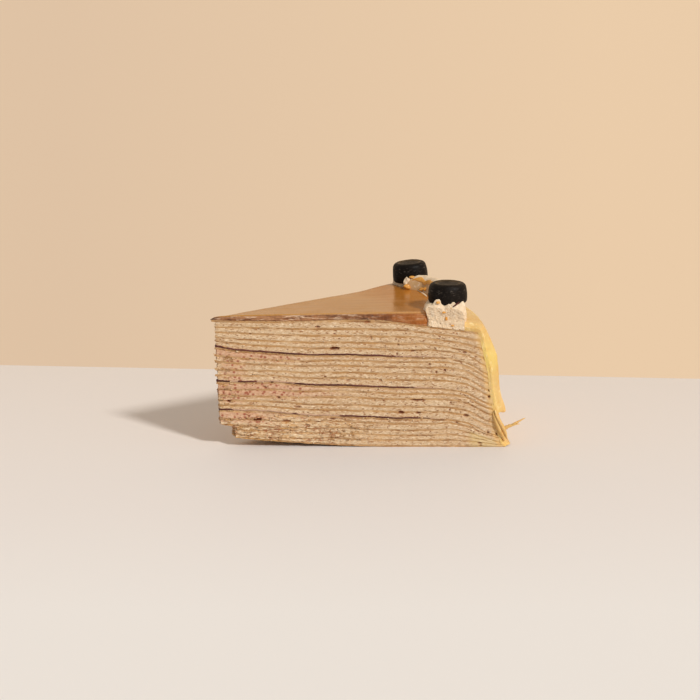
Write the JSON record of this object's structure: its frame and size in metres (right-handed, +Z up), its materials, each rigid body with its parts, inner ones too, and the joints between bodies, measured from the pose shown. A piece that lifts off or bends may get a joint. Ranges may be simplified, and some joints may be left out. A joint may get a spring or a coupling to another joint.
{
  "type": "crepe cake slice",
  "caption": "Wedge slice of coffee mille-crepe cake: thin crepes and whipped cream in even layers, caramel glaze, draped crepe rim, piped cream and chocolate drums.",
  "frame": {"origin": "middle of the slice's bounding box, on the underside that rests on the plate", "axes": "+X from the tip to the rim along the near cut face, +Y from the near cut face into the slice, +Z up"},
  "size_m": [0.1152, 0.072, 0.0646],
  "materials": {
    "crepe": "dull, browned edge of a thin crepe",
    "cream": "dull whipped coffee cream, cut with a knife",
    "chocolate_filling": "thin dark chocolate, satin",
    "glaze": "glossy caramel glaze with fine streaks",
    "draped_crepe": "thin moist egg crepe, satin and a little translucent",
    "piped_cream": "dull whipped cream",
    "chocolate": "black-brown chocolate, satin"
  },
  "bodies": {
    "root": {"crepe_01": "crepe", "crepe_02": "crepe", "crepe_03": "crepe", "crepe_04": "crepe", "crepe_05": "crepe", "crepe_06": "crepe", "crepe_07": "crepe", "crepe_08": "crepe", "crepe_09": "crepe", "crepe_10": "crepe", "crepe_11": "crepe", "crepe_12": "crepe", "crepe_13": "crepe", "crepe_14": "crepe", "crepe_15": "crepe", "crepe_16": "crepe", "crepe_17": "crepe", "crepe_18": "crepe", "crepe_19": "crepe", "crepe_20": "crepe", "crepe_21": "crepe", "cream_01": "cream", "cream_02": "cream", "cream_03": "cream", "cream_04": "cream", "cream_05": "cream", "cream_06": "cream", "cream_07": "cream", "cream_08": "cream", "cream_09": "cream", "cream_10": "cream", "cream_11": "cream", "cream_12": "cream", "cream_13": "cream", "cream_14": "cream", "cream_15": "cream", "cream_16": "cream", "cream_17": "cream", "cream_18": "cream", "cream_19": "cream", "cream_20": "cream", "chocolate_filling_1": "chocolate_filling", "chocolate_filling_2": "chocolate_filling", "chocolate_filling_3": "chocolate_filling", "glaze": "glaze", "draped_crepe_inner": "draped_crepe", "draped_crepe_outer": "draped_crepe", "cream_dollop_near": "piped_cream", "cream_dollop_far": "piped_cream", "cream_rope": "piped_cream", "chocolate_drum_near": "chocolate", "chocolate_drum_far": "chocolate"}
  },
  "joints": []
}
